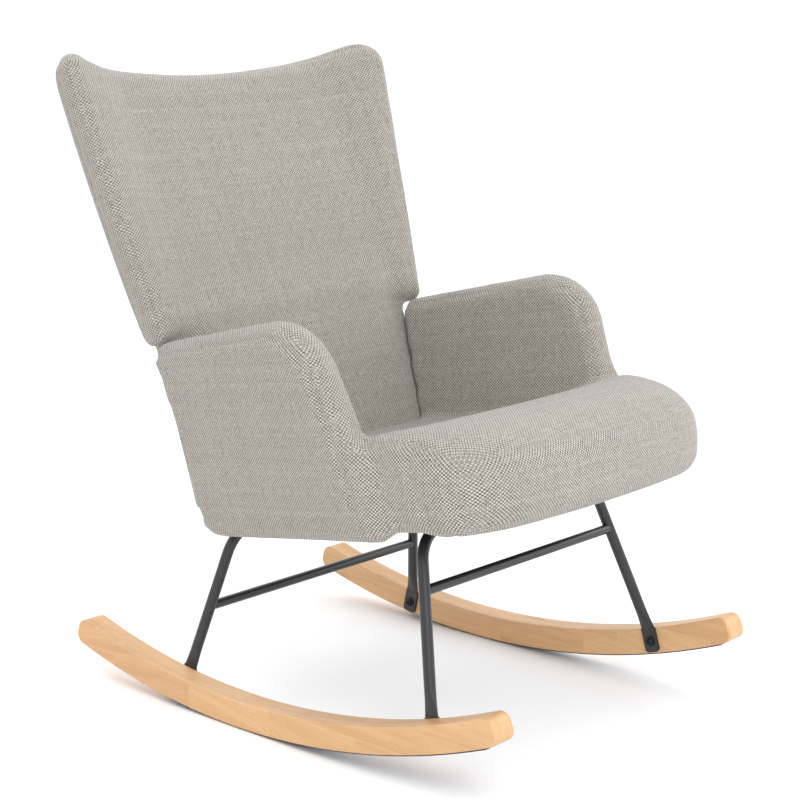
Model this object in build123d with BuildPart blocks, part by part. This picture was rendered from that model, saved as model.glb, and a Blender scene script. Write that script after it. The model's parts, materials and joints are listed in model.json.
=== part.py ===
"""Wing-back rocking chair: upholstered seat and back on steel leg frames and wooden rockers.

Millimetres. +Z is up, the chair faces -Y and X = 0 is its plane of symmetry. The floor is
Z = 0 and the origin lies at the middle of the footprint of the whole chair.
"""

import os
from math import atan, cos, degrees, radians, sin, sqrt, tan

from build123d import *

# ---- Rockers ------------------------------------------------------------------------------
ROCKER_RADIUS = 1219.0  # radius of the line that rolls on the floor
ROCKER_SPACING = 535.0  # between the middles of the two rockers
ROCKER_WIDTH = 39.0
ROCKER_HEIGHT = 39.0
ROCKER_FRONT_REACH = 480.0  # from the rolling point at rest to the front tip
ROCKER_REAR_REACH = 348.0
ROCKER_END_ROUND = 15.0
ROCKER_EDGE_ROUND = 2.5
STRIP_THICKNESS = 2.0  # rubber strip under each rocker
STRIP_WIDTH = 30.0
STRIP_FRONT_REACH = 458.0
STRIP_REAR_REACH = 150.0

# ---- Steel tube -----------------------------------------------------------------------------
TUBE_DIAMETER = 16.0
TUBE_WALL = 1.5
TUBE_BEND = 50.0  # centre-line radius of the two bends in each leg frame
STRETCHER_DIAMETER = 14.0
LEG_SPLAY = 13.6  # outward lean of each leg, in the plane of its frame
FRONT_RAKE = 17.0  # lean of the front frame, its top towards the rear
REAR_RAKE = -12.5  # lean of the rear frame, its top towards the front
FRONT_FOOT = -341.0  # bolt position, measured from the rolling point
REAR_FOOT = 138.0
FRONT_STRETCHER_HEIGHT = 244.0
REAR_STRETCHER_HEIGHT = 141.0
FLAT_THICKNESS = 4.0  # the pressed end of a leg
FLAT_WIDTH = 24.0
FLAT_RISE = 20.0  # from the bolt up to where the tube starts to swell
FLAT_DROP = 17.0  # from the bolt down to the end of the leg
FLAT_CORNER = 6.0
FLAT_SWELL = 34.0  # length over which the tube goes from flat to round

# ---- Seat unit ------------------------------------------------------------------------------
SEAT_TILT = 9.3  # the front of the seat is the higher end
SEAT_UNDERSIDE = 284.0  # height of the underside above the rolling point
SEAT_HALF_WIDTH = 285.0
SEAT_REAR_HALF_WIDTH = 258.0
SEAT_FRONT = -472.0  # along the underside, from above the rolling point
SEAT_REAR = 62.0
LEDGE_REAR = 104.0  # the base of the seat runs on under the back, as a ledge
LEDGE_HALF_WIDTH = 254.0
LEDGE_CORNER = 22.0
SEAT_CREST = 136.0  # thickness of the seat at its front roll
SEAT_LOW = 86.0  # thickness of the seat at the rear
SEAT_FRONT_BOW = 40.0
SEAT_ROLL_DEPTH = 125.0  # from the front of the seat back to the top of its roll
SEAT_NOSE_HEIGHT = 66.0  # height at which the roll stands furthest forward
SEAT_UNDER_TUCK = 45.0  # from the front of the seat back to where the roll meets the underside
SEAT_DISH = -60.0  # where the seat stops being flat and starts to rise
SEAT_CORNER = 95.0
ARM_THICKNESS = 64.0
ARM_BASE = 246.0  # half distance between the middles of the arms, at the underside
ARM_LEAN = 8.5
ARM_TOE = 5.5
ARM_MIDDLE = -100.0
ARM_FRONT_SLOPE = 12.0  # the front edge of an arm slopes down and forward
ARM_FRONT_BASE = -190.0
ARM_FRONT_TOP = 301.0
ARM_REAR_TOP = 274.0
ARM_FRONT_CURVE = 82.0
ARM_REAR_CURVE = 30.0
ARM_EDGE_ROUND = 24.0
BOARD_THICKNESS = 15.0
BOARD_HALF_WIDTH = 248.0
BOARD_FRONT = -388.0
BOARD_CORNER = 110.0
REAR_RAIL_TOP = 62.0
FRONT_RAIL_PLACE = -360.0
FRONT_RAIL_TOP = 84.0
FRONT_RAIL_HALF_LENGTH = 200.0
REAR_RAIL_HALF_LENGTH = 226.0
SEAT_STRAP_COUNT = 5
SEAT_STRAP_PITCH = 78.0
STRAP_LAP = 12.0  # how far a strap lies on the rail that holds it
DUST_MARGIN = 30.0  # width of the cover that is turned in under the seat
DUST_HALF_WIDTH = 205.0
DUST_CORNER = 40.0
PANEL_THICKNESS = 15.0
RAIL_THICKNESS = 18.0
COVER_THICKNESS = 2.0

# ---- Back unit ------------------------------------------------------------------------------
BACK_RECLINE = 20.0
BACK_GAP = 1.5  # between the arms' rear edges and the back
BACK_SHOULDER = 280.0  # height, along the back, at which the wings start
BACK_TOP = 713.0  # height of the wings along the back
BACK_DIP = 27.0  # how far the middle of the top edge lies below the wings
BACK_THICKNESS = 70.0
BACK_LOW_THICKNESS = 40.0
BACK_LOW_HALF_WIDTH = 257.0
SHOULDER_HALF_WIDTH = 280.0
WAIST_HALF_WIDTH = 307.0
TOP_HALF_WIDTH = 332.0
SHOULDER_WING = 40.0  # how far the wings stand forward of the middle, at the shoulder
TOP_WING = 84.0
SHOULDER_REAR = -66.0  # rear surface at the middle, from the plane of the arms' rear edges
TOP_REAR = -104.0
BACK_WAIST = 455.0  # height at which the width between shoulder and top is given
WING_CORNER = 62.0
SHOULDER_CORNER = 16.0
BACK_EDGE_ROUND = 30.0
BACK_LAP = 20.0  # height shared by the winged part and the part behind the arms
LUMBAR_PAD = 18.0
LUMBAR_HALF_WIDTH = 206.0
LUMBAR_BOTTOM = 88.0
LUMBAR_TOP = 300.0
LUMBAR_CORNER = 15.0
FRAME_PLACE = -20.0  # middle of the wooden frame at its foot, from the arms' rear edges
FRAME_LEAN = 2.6  # the frame reclines a little more than the arms' rear edges
UPRIGHT_WIDTH = 20.0
UPRIGHT_DEPTH = 26.0
UPRIGHT_SPACING = 400.0
UPRIGHT_TOP = 640.0
RAIL_HEIGHT = 36.0
BOTTOM_RAIL_PLACE = 50.0
MIDDLE_RAIL_PLACE = 280.0
BACK_STRAP_PLACES = (95.0, 180.0, 350.0, 435.0, 520.0)
WING_PANEL_DEPTH = 24.0  # from the surface of the wing to the panel inside it
WADDING_DEPTH = 10.0  # from the rear surface of the back to the space inside
WEBBING_THICKNESS = 1.6
WEBBING_WIDTH = 50.0

# ---- Fasteners ------------------------------------------------------------------------------
FIT_GAP = 0.2
BACK_BOLT_HEIGHT = 44.0
BACK_BOLT_PLACES = (-165.0, -60.0, 60.0, 165.0)
BACK_BOLT_ACCESS = 19.0  # diameter of the openings through which the back is bolted on
BOLT_DIAMETER = 6.0
BOLT_CLEARANCE = 0.3  # around a bolt in a plain hole
THREAD_GAP = 0.05  # around a bolt in its nut
HEAD_DIAMETER = 11.0
HEAD_HEIGHT = 3.4
HEAD_TAPER = 22.0
SOCKET_SIZE = 4.0
SOCKET_DEPTH = 2.0
WASHER_DIAMETER = 16.0
WASHER_THICKNESS = 1.4
INSERT_DIAMETER = 9.5
INSERT_LENGTH = 20.0
PLATE_WIDTH = 62.0
PLATE_LENGTH = 42.0
PLATE_THICKNESS = 3.0
PLATE_CORNER = 4.0
PLATE_OVERHANG = 10.0  # from the tube's axis to the near edge of the plate
PLATE_HOLE_SPACING = 38.0
PLATE_HOLE_OFFSET = 16.5  # from the tube's axis to the holes
PLATE_OFFSET = 105.0  # from the middle of the chair to the middle of a mounting plate
TEE_FLANGE = 19.0
TEE_FLANGE_THICKNESS = 1.2
TEE_BARREL = 8.0
TEE_LENGTH = 9.0

# ---- Places worked out from the sizes above -------------------------------------------------
tube_radius = TUBE_DIAMETER / 2
bolt_radius = BOLT_DIAMETER / 2
hole_radius = bolt_radius + BOLT_CLEARANCE
wood_radius = ROCKER_RADIUS - STRIP_THICKNESS
bolt_line_radius = wood_radius - ROCKER_HEIGHT / 2
rocker_x = ROCKER_SPACING / 2
rocker_inner_x = rocker_x - ROCKER_WIDTH / 2
flat_x = rocker_inner_x - FLAT_THICKNESS / 2
sides = (-1, 1)

seat_sin = sin(radians(SEAT_TILT))
seat_cos = cos(radians(SEAT_TILT))
back_sin = sin(radians(BACK_RECLINE))
back_cos = cos(radians(BACK_RECLINE))

board_rear = LEDGE_REAR - COVER_THICKNESS
ledge_height = BOARD_THICKNESS + 2 * COVER_THICKNESS

# The arm panels' rear edges stand against the rear rail of the seat.
panel_inset = COVER_THICKNESS + RAIL_THICKNESS

# The top edge of the back is the rearmost point and the rockers' tips are the foremost ones.
top_middle = BACK_TOP - BACK_DIP
top_middle_rear = TOP_REAR + (SHOULDER_REAR - TOP_REAR) * BACK_DIP / (BACK_TOP - BACK_SHOULDER)
back_rear_reach = (
    (SEAT_REAR + BACK_GAP) * seat_cos + top_middle * back_sin - top_middle_rear * back_cos
)
tip_sin = ROCKER_FRONT_REACH / wood_radius
rocker_tip_reach = (wood_radius - ROCKER_END_ROUND) * tip_sin + ROCKER_END_ROUND * (
    1 - sqrt(1 - tip_sin**2)
)
contact_y = (rocker_tip_reach - back_rear_reach) / 2


def seat_point(along, up):
    """World Y and Z of a point given along the seat's underside and square to it."""
    y = contact_y + along * seat_cos + up * seat_sin
    z = SEAT_UNDERSIDE - along * seat_sin + up * seat_cos
    return y, z


def seat_plane(up=0.0):
    """Plane parallel to the underside of the seat: local Y runs to the rear."""
    y, z = seat_point(0.0, up)
    return Plane(origin=(0, y, z), x_dir=(1, 0, 0), z_dir=(0, seat_sin, seat_cos))


def seat_side_plane(x=0.0):
    """Upright plane across X: local X runs to the rear along the seat, local Y up from it."""
    y, z = seat_point(0.0, 0.0)
    return Plane(origin=(x, y, z), x_dir=(0, seat_cos, -seat_sin), z_dir=(1, 0, 0))


back_foot_y, back_foot_z = seat_point(SEAT_REAR + BACK_GAP, 0.0)


def back_side_plane(x=0.0):
    """Upright plane across X: local X points forward from the back, local Y climbs it."""
    origin = (x, back_foot_y, back_foot_z)
    return Plane(origin=origin, x_dir=(0, -back_cos, back_sin), z_dir=(-1, 0, 0))


def back_plane(up=0.0):
    """Plane square to the back's rise: local X is the chair's, local Y points forward."""
    origin = (0, back_foot_y + up * back_sin, back_foot_z + up * back_cos)
    return Plane(origin=origin, x_dir=(-1, 0, 0), z_dir=(0, back_sin, back_cos))


def back_face_plane(forward=0.0):
    """Plane along the back: local X is the chair's, local Y runs up the back."""
    origin = (0, back_foot_y - forward * back_cos, back_foot_z + forward * back_sin)
    return Plane(origin=origin, x_dir=(1, 0, 0), z_dir=(0, -back_cos, back_sin))


def save(name, part):
    """Label one finished piece and write it as its own file."""
    part.label = name
    export_step(part, f"parts/{name}.step")


os.makedirs("parts", exist_ok=True)


# ---- Rockers and their rubber strips --------------------------------------------------------
def rocker_angle(reach, radius):
    """Angle from straight down to a point that lies reach away from the rolling point."""
    return degrees(atan(reach / sqrt(radius**2 - reach**2)))


def rocker_plane(x):
    """Upright plane at x: local X is the world's Y from the rolling point, local Y is up."""
    return Plane(origin=(x, contact_y, 0), x_dir=(0, 1, 0), z_dir=(1, 0, 0))


def curved_bar(outer_radius, height, front_reach, rear_reach):
    """Outline of a bar that follows the rolling arc, drawn about the rolling point."""
    inner_radius = outer_radius - height
    front = rocker_angle(front_reach, outer_radius)
    rear = rocker_angle(rear_reach, outer_radius)
    centre = (0, ROCKER_RADIUS)
    with BuildSketch() as bar:
        with BuildLine():
            low = CenterArc(centre, outer_radius, 270 - front, front + rear)
            high = CenterArc(centre, inner_radius, 270 - front, front + rear)
            Line(low @ 0, high @ 0)
            Line(low @ 1, high @ 1)
        make_face()
    return bar.sketch


def foot_height(foot):
    """Height of a leg's bolt, which sits at the middle of the rocker's section."""
    return ROCKER_RADIUS - sqrt(bolt_line_radius**2 - foot**2)


rocker_outline = curved_bar(wood_radius, ROCKER_HEIGHT, ROCKER_FRONT_REACH, ROCKER_REAR_REACH)
strip_outline = curved_bar(
    ROCKER_RADIUS, STRIP_THICKNESS, STRIP_FRONT_REACH, STRIP_REAR_REACH
)
feet = [(FRONT_FOOT, foot_height(FRONT_FOOT)), (REAR_FOOT, foot_height(REAR_FOOT))]

for side, name in zip(sides, ("left", "right")):
    with BuildPart() as rocker:
        with BuildSketch(rocker_plane(side * rocker_x)):
            add(rocker_outline)
        extrude(amount=ROCKER_WIDTH / 2, both=True)
        ends = rocker.edges().filter_by(Axis.X)
        fillet(ends, radius=ROCKER_END_ROUND)
        long_edges = rocker.edges().filter_by(GeomType.CIRCLE).sort_by(SortBy.LENGTH)[-4:]
        fillet(long_edges, radius=ROCKER_EDGE_ROUND)
        with BuildSketch(rocker_plane(side * rocker_inner_x)):
            with Locations(*feet):
                Circle(INSERT_DIAMETER / 2)
        extrude(amount=side * (INSERT_LENGTH + BOLT_CLEARANCE), mode=Mode.SUBTRACT)
    save(f"rocker_{name}", rocker.part)

    with BuildPart() as strip:
        with BuildSketch(rocker_plane(side * rocker_x)):
            add(strip_outline)
        extrude(amount=STRIP_WIDTH / 2, both=True)
    save(f"antislip_strip_{name}", strip.part)


# ---- Leg frames, stretchers and mounting plates ---------------------------------------------
class LegFrame:
    """Sizes of one bent leg frame, all in its own leaning plane."""

    def __init__(self, foot, rake, stretcher_height):
        foot_z = foot_height(foot)
        self.rake = radians(rake)
        self.floor_y = contact_y + foot - foot_z * tan(self.rake)
        self.foot = foot_z / cos(self.rake)
        self.knee = self.foot + FLAT_RISE
        below_seat = tube_radius + PLATE_THICKNESS
        lean = self.rake - radians(SEAT_TILT)
        offset = (self.floor_y - contact_y) * seat_sin
        self.top = (SEAT_UNDERSIDE * seat_cos - below_seat - offset) / cos(lean)
        self.shoulder_x = self.leg_x(self.top)
        self.stretcher = stretcher_height / cos(self.rake)
        top_y = self.floor_y - contact_y + self.top * sin(self.rake)
        top_z = self.top * cos(self.rake) - SEAT_UNDERSIDE
        self.along_seat = top_y * seat_cos - top_z * seat_sin
        self.inward = 1 if foot < 0 else -1

    def leg_x(self, height):
        """Half distance between the legs' axes at a height in the frame's plane."""
        return flat_x - (height - self.knee) * tan(radians(LEG_SPLAY))

    def plane(self):
        """The plane of the frame: local X is the chair's, local Y climbs the frame."""
        normal = (0, -cos(self.rake), sin(self.rake))
        return Plane(origin=(0, self.floor_y, 0), x_dir=(1, 0, 0), z_dir=normal)

    def point(self, x, height):
        """World position of a point in the plane of the frame."""
        return Vector(x, self.floor_y + height * sin(self.rake), height * cos(self.rake))


frames = {
    "front": LegFrame(FRONT_FOOT, FRONT_RAKE, FRONT_STRETCHER_HEIGHT),
    "rear": LegFrame(REAR_FOOT, REAR_RAKE, REAR_STRETCHER_HEIGHT),
}


for name, frame in frames.items():
    swell_top = frame.knee + FLAT_SWELL
    climb = Vector(0, sin(frame.rake), cos(frame.rake))
    with BuildPart() as leg_frame:
        with BuildLine(frame.plane()) as path:
            FilletPolyline(
                (-frame.leg_x(swell_top), swell_top),
                (-frame.shoulder_x, frame.top),
                (frame.shoulder_x, frame.top),
                (frame.leg_x(swell_top), swell_top),
                radius=TUBE_BEND,
            )
        with BuildSketch(Plane(origin=path.line @ 0, z_dir=path.line % 0)):
            Circle(tube_radius)
            Circle(tube_radius - TUBE_WALL, mode=Mode.SUBTRACT)
        sweep()
        for side in sides:
            foot_point = frame.point(side * flat_x, frame.knee)
            round_point = frame.point(side * frame.leg_x(swell_top), swell_top)
            leg_direction = round_point - foot_point
            across = Vector(0, cos(frame.rake), -sin(frame.rake))
            with BuildSketch(Plane(origin=round_point, x_dir=across, z_dir=leg_direction)):
                Circle(tube_radius)
            with BuildSketch(Plane(origin=foot_point, x_dir=across, z_dir=climb)):
                Ellipse(FLAT_WIDTH / 2, FLAT_THICKNESS / 2)
            loft()
            with BuildSketch(Plane(origin=foot_point, x_dir=across, z_dir=(1, 0, 0))) as flat:
                with Locations((0, -(FLAT_RISE + FLAT_DROP) / 2)):
                    Rectangle(FLAT_WIDTH, FLAT_RISE + FLAT_DROP)
                fillet(flat.vertices().group_by(Axis.Y)[0], radius=FLAT_CORNER)
                with Locations((0, -FLAT_RISE)):
                    Circle(hole_radius, mode=Mode.SUBTRACT)
            extrude(amount=FLAT_THICKNESS / 2, both=True)
    save(f"{name}_leg_frame", leg_frame.part)


for name, frame in frames.items():
    half_run = frame.leg_x(frame.stretcher)
    with BuildPart() as stretcher:
        middle = frame.point(0, frame.stretcher)
        with BuildSketch(Plane(origin=middle, x_dir=(0, 1, 0), z_dir=(1, 0, 0))):
            Circle(STRETCHER_DIAMETER / 2)
            Circle(STRETCHER_DIAMETER / 2 - TUBE_WALL, mode=Mode.SUBTRACT)
        extrude(amount=half_run, both=True)
        for side in sides:
            joint = frame.point(side * half_run, frame.stretcher)
            leg_direction = joint - frame.point(side * frame.shoulder_x, frame.top)
            with BuildSketch(Plane(origin=joint, z_dir=leg_direction)):
                Circle(tube_radius)
            extrude(amount=TUBE_BEND, both=True, mode=Mode.SUBTRACT)
    save(f"{name}_stretcher", stretcher.part)

    with BuildPart() as plates:
        middle = frame.along_seat + frame.inward * (PLATE_LENGTH / 2 - PLATE_OVERHANG)
        holes = frame.along_seat + frame.inward * PLATE_HOLE_OFFSET
        with BuildSketch(seat_plane(-PLATE_THICKNESS)):
            with Locations((-PLATE_OFFSET, middle), (PLATE_OFFSET, middle)):
                RectangleRounded(PLATE_WIDTH, PLATE_LENGTH, PLATE_CORNER)
            with Locations((-PLATE_OFFSET, holes), (PLATE_OFFSET, holes)):
                with GridLocations(PLATE_HOLE_SPACING, 0, 2, 1):
                    Circle(hole_radius, mode=Mode.SUBTRACT)
        extrude(amount=PLATE_THICKNESS)
    save(f"{name}_mounting_plates", plates.part)


# ---- Bolts, washers and nuts ----------------------------------------------------------------
def fasten(name, seats, reach):
    """Button-head bolts and washers: each seat is a plane that faces out of its head."""
    with BuildPart() as washers:
        for seat in seats:
            with BuildSketch(seat):
                Circle(WASHER_DIAMETER / 2)
                Circle(hole_radius, mode=Mode.SUBTRACT)
            extrude(amount=WASHER_THICKNESS)
    save(f"{name}_washers", washers.part)
    with BuildPart() as bolts:
        for seat in seats:
            head = seat.offset(WASHER_THICKNESS)
            with BuildSketch(head.offset(-reach - WASHER_THICKNESS)):
                Circle(bolt_radius)
            extrude(amount=reach + WASHER_THICKNESS)
            with BuildSketch(head):
                Circle(HEAD_DIAMETER / 2)
            extrude(amount=HEAD_HEIGHT, taper=HEAD_TAPER)
            with BuildSketch(head.offset(HEAD_HEIGHT - SOCKET_DEPTH)):
                RegularPolygon(SOCKET_SIZE / 2, 6, major_radius=False)
            extrude(amount=SOCKET_DEPTH, mode=Mode.SUBTRACT)
    save(f"{name}_bolts", bolts.part)


def tee_nuts(name, seats):
    """Nuts whose flange lies on the far side of a board: each seat faces out of the flange."""
    with BuildPart() as nuts:
        for seat in seats:
            with BuildSketch(seat):
                Circle(TEE_FLANGE / 2)
                Circle(bolt_radius + THREAD_GAP, mode=Mode.SUBTRACT)
            extrude(amount=TEE_FLANGE_THICKNESS)
            with BuildSketch(seat):
                Circle(TEE_BARREL / 2)
                Circle(bolt_radius + THREAD_GAP, mode=Mode.SUBTRACT)
            extrude(amount=-TEE_LENGTH)
    save(name, nuts.part)


rocker_seats = [
    Plane(origin=(side * (flat_x - FLAT_THICKNESS / 2), contact_y + y, z), z_dir=(-side, 0, 0))
    for side in sides
    for y, z in feet
]
fasten("rocker", rocker_seats, FLAT_THICKNESS + INSERT_LENGTH - 2 * BOLT_CLEARANCE)

with BuildPart() as insert_nuts:
    for seat in rocker_seats:
        with BuildSketch(seat.offset(-FLAT_THICKNESS)):
            Circle(INSERT_DIAMETER / 2)
            Circle(bolt_radius + THREAD_GAP, mode=Mode.SUBTRACT)
        extrude(amount=-INSERT_LENGTH)
save("rocker_insert_nuts", insert_nuts.part)

plate_points = [
    (
        side * PLATE_OFFSET + row * PLATE_HOLE_SPACING / 2,
        frame.along_seat + frame.inward * PLATE_HOLE_OFFSET,
    )
    for frame in frames.values()
    for side in sides
    for row in sides
]
board_bottom = COVER_THICKNESS
board_top = board_bottom + BOARD_THICKNESS
nut_seat = board_top - TEE_FLANGE_THICKNESS
down = (0, -seat_sin, -seat_cos)
up = (0, seat_sin, seat_cos)
plate_seats = [
    Plane(origin=(x, *seat_point(along, -PLATE_THICKNESS)), z_dir=down)
    for x, along in plate_points
]
fasten("leg_frame", plate_seats, PLATE_THICKNESS + board_top)
tee_nuts(
    "seat_tee_nuts",
    [Plane(origin=(x, *seat_point(along, nut_seat)), z_dir=up) for x, along in plate_points],
)


# ---- Outer forms of the upholstery, drawn smaller by an inset for what lies inside ----------
def seat_body(inset):
    """The padded seat with its front roll, without the arms."""
    half = SEAT_HALF_WIDTH - inset
    rear_half = SEAT_REAR_HALF_WIDTH - inset
    front = SEAT_FRONT + inset
    rear = SEAT_REAR + SEAT_CREST
    with BuildPart() as body:
        with BuildSketch(seat_plane()) as plan:
            with BuildLine():
                corner = front + SEAT_FRONT_BOW
                ThreePointArc((-half, corner), (0, front), (half, corner))
                Polyline((half, corner), (rear_half, rear), (-rear_half, rear), (-half, corner))
            make_face()
            fillet(plan.vertices().group_by(Axis.Y)[0], radius=SEAT_CORNER - inset)
        extrude(amount=2 * SEAT_CREST)
        crest = (SEAT_FRONT + SEAT_ROLL_DEPTH, SEAT_CREST - inset)
        with BuildSketch(seat_side_plane()):
            with BuildLine():
                Spline(
                    crest, (front, SEAT_NOSE_HEIGHT), (SEAT_FRONT + SEAT_UNDER_TUCK, inset),
                    tangents=((-1, 0), (1, -0.2)),
                )
                low = SEAT_LOW - inset
                Polyline((SEAT_FRONT + SEAT_UNDER_TUCK, inset), (rear, inset), (rear, low))
                Spline((rear, low), (SEAT_DISH, low), crest, tangents=((-1, 0), (-1, 0)))
            make_face()
        extrude(amount=SEAT_HALF_WIDTH, both=True, mode=Mode.INTERSECT)
        split(bisect_by=back_face_plane(BACK_GAP + inset), keep=Keep.TOP)
        add(ledge_body(inset))
    return body.part


def ledge_body(inset):
    """The flat base of the seat, which carries the back on its rear end."""
    length = LEDGE_REAR - inset + LEDGE_CORNER + LEDGE_HALF_WIDTH
    with BuildPart() as ledge:
        with BuildSketch(seat_plane(inset)) as plan:
            with Locations((0, LEDGE_REAR - inset - length / 2)):
                Rectangle(2 * (LEDGE_HALF_WIDTH - inset), length)
            fillet(plan.vertices().group_by(Axis.Y)[-1], radius=LEDGE_CORNER - inset)
        extrude(amount=ledge_height - 2 * inset)
    return ledge.part


def arm_plane():
    """Plane through the middle of the right arm: local X runs to the rear, local Y climbs."""
    toe = radians(ARM_TOE)
    lean = radians(ARM_LEAN)
    seat = seat_plane()
    middle = seat.from_local_coords(Vector(ARM_BASE, ARM_MIDDLE, 0))
    along = seat.from_local_coords(Vector(ARM_BASE - sin(toe), ARM_MIDDLE + cos(toe), 0)) - middle
    rise = seat.from_local_coords(Vector(ARM_BASE + sin(lean), ARM_MIDDLE, cos(lean))) - middle
    return Plane(origin=middle, x_dir=along, z_dir=along.cross(rise))


def arm_body(inset, thickness, rounded=True):
    """The right arm as a plate that leans outwards, cut level with the seat's underside."""
    rear_slope = tan(radians(BACK_RECLINE - SEAT_TILT))
    front_slope = tan(radians(ARM_FRONT_SLOPE))
    rear = SEAT_REAR - ARM_MIDDLE
    low = -ARM_THICKNESS
    with BuildPart() as body:
        with BuildSketch(arm_plane()) as outline:
            with BuildLine():
                Polyline(
                    (rear + low * rear_slope, low),
                    (rear + ARM_REAR_TOP * rear_slope, ARM_REAR_TOP),
                    (ARM_FRONT_BASE + ARM_FRONT_TOP * front_slope, ARM_FRONT_TOP),
                    (ARM_FRONT_BASE + low * front_slope, low),
                    close=True,
                )
            make_face()
            fillet(outline.vertices().sort_by(Axis.X)[-1:], radius=ARM_REAR_CURVE)
            fillet(outline.vertices().sort_by(Axis.Y)[-1:], radius=ARM_FRONT_CURVE)
            if inset:
                offset(amount=-inset, mode=Mode.REPLACE)
        extrude(amount=thickness / 2, both=True)
        if rounded:
            flat_faces = body.faces().sort_by(SortBy.AREA)[-2:]
            low_edge = seat_plane(low / 2)
            rims = flat_faces[0].edges() + flat_faces[1].edges()
            rims = [rim for rim in rims if low_edge.to_local_coords(rim.center()).Z > 0]
            fillet(rims, radius=ARM_EDGE_ROUND - inset)
        split(bisect_by=seat_plane(min(inset, COVER_THICKNESS)), keep=Keep.TOP)
        split(bisect_by=back_face_plane(BACK_GAP + inset), keep=Keep.TOP)
    return body.part


right_arm_padding = arm_body(COVER_THICKNESS, ARM_THICKNESS - 2 * COVER_THICKNESS)


# ---- Wooden frame of the seat ---------------------------------------------------------------
with BuildPart() as panel_right:
    add(arm_body(panel_inset, PANEL_THICKNESS, rounded=False))
panel_outer_face = panel_right.faces().sort_by(SortBy.AREA)[-2:].sort_by(Axis.X)[-1]

# The board ends at the arm panels, so all that lies outside them is cut away.
with BuildPart() as outside_right:
    add(panel_right.part)
    extrude(panel_outer_face, amount=BOARD_HALF_WIDTH)
outside_left_part = mirror(outside_right.part, about=Plane.YZ)

with BuildPart() as seat_board:
    with BuildSketch(seat_plane(board_bottom)) as plan:
        with Locations((0, (BOARD_FRONT + board_rear) / 2)):
            Rectangle(2 * BOARD_HALF_WIDTH, board_rear - BOARD_FRONT)
        fillet(plan.vertices().group_by(Axis.Y)[0], radius=BOARD_CORNER)
        fillet(plan.vertices().group_by(Axis.Y)[-1], radius=LEDGE_CORNER - COVER_THICKNESS)
        with Locations(*plate_points):
            Circle(TEE_BARREL / 2, mode=Mode.SUBTRACT)
    extrude(amount=BOARD_THICKNESS)
    with BuildSketch(seat_plane(nut_seat)):
        with Locations(*plate_points):
            Circle(TEE_FLANGE / 2)
    extrude(amount=TEE_FLANGE_THICKNESS, mode=Mode.SUBTRACT)
    add(outside_right.part, mode=Mode.SUBTRACT)
    add(outside_left_part, mode=Mode.SUBTRACT)
save("seat_base_board", seat_board.part)

panel_left_part = mirror(panel_right.part, about=Plane.YZ)
save("arm_panel_right", panel_right.part)
save("arm_panel_left", panel_left_part)


def between_panels(rail):
    """A rail cut to length by the arm panels on both sides."""
    with BuildPart() as cut:
        add(rail)
        add(panel_right.part, mode=Mode.SUBTRACT)
        add(panel_left_part, mode=Mode.SUBTRACT)
    return cut.part.solids().sort_by(SortBy.VOLUME)[-1]


back_bolt_points = [(x, BACK_BOLT_HEIGHT) for x in BACK_BOLT_PLACES]
with BuildPart() as rear_rail:
    with BuildSketch(back_face_plane(BACK_GAP + COVER_THICKNESS)):
        Rectangle(2 * REAR_RAIL_HALF_LENGTH, 2 * REAR_RAIL_TOP)
        with Locations(*back_bolt_points):
            Circle(TEE_BARREL / 2, mode=Mode.SUBTRACT)
    extrude(amount=RAIL_THICKNESS)
    split(bisect_by=seat_plane(board_top), keep=Keep.TOP)
rear_rail_part = between_panels(rear_rail.part)
save("seat_rear_rail", rear_rail_part)

with BuildPart() as front_rail:
    with BuildSketch(seat_side_plane()):
        with Locations((FRONT_RAIL_PLACE, board_top)):
            Rectangle(
                RAIL_THICKNESS, FRONT_RAIL_TOP - board_top, align=(Align.CENTER, Align.MIN)
            )
    extrude(amount=FRONT_RAIL_HALF_LENGTH, both=True)
save("seat_front_rail", front_rail.part)

# The straps run from the front rail to the rear rail and lie on their top edges.
strap_front = (FRONT_RAIL_PLACE + RAIL_THICKNESS / 2, FRONT_RAIL_TOP)
rear_rail_top = rear_rail_part.vertices().sort_by(Axis.Z)[-1].center()
strap_rear_place = seat_plane().to_local_coords(rear_rail_top)
strap_slope = (strap_rear_place.Z - FRONT_RAIL_TOP) / (strap_rear_place.Y - strap_front[0])
strap_angle = degrees(atan(strap_slope))
strap_length = (strap_rear_place.Y - strap_front[0]) / cos(radians(strap_angle))


def strap_plane(lift=0.0):
    """Plane of the undersides of the seat straps, with its origin at the front rail."""
    y, z = seat_point(*strap_front)
    tilt = radians(SEAT_TILT - strap_angle)
    normal = Vector(0, sin(tilt), cos(tilt))
    return Plane(origin=Vector(0, y, z) + normal * lift, x_dir=(1, 0, 0), z_dir=normal)


with BuildPart() as seat_webbing:
    with BuildSketch(strap_plane(FIT_GAP)):
        with Locations((0, strap_length / 2)):
            with GridLocations(SEAT_STRAP_PITCH, 0, SEAT_STRAP_COUNT, 1):
                Rectangle(WEBBING_WIDTH, strap_length + 2 * STRAP_LAP)
    extrude(amount=WEBBING_THICKNESS)
save("seat_webbing", seat_webbing.part)

with BuildPart() as hollow:
    with BuildSketch(seat_side_plane()):
        with BuildLine():
            Polyline(
                (strap_front[0], board_top),
                strap_front,
                (strap_rear_place.Y, strap_rear_place.Z),
                (strap_rear_place.Y + RAIL_THICKNESS, board_top),
                close=True,
            )
        make_face()
    extrude(amount=SEAT_HALF_WIDTH, both=True)
hollow_part = between_panels(hollow.part)


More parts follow.
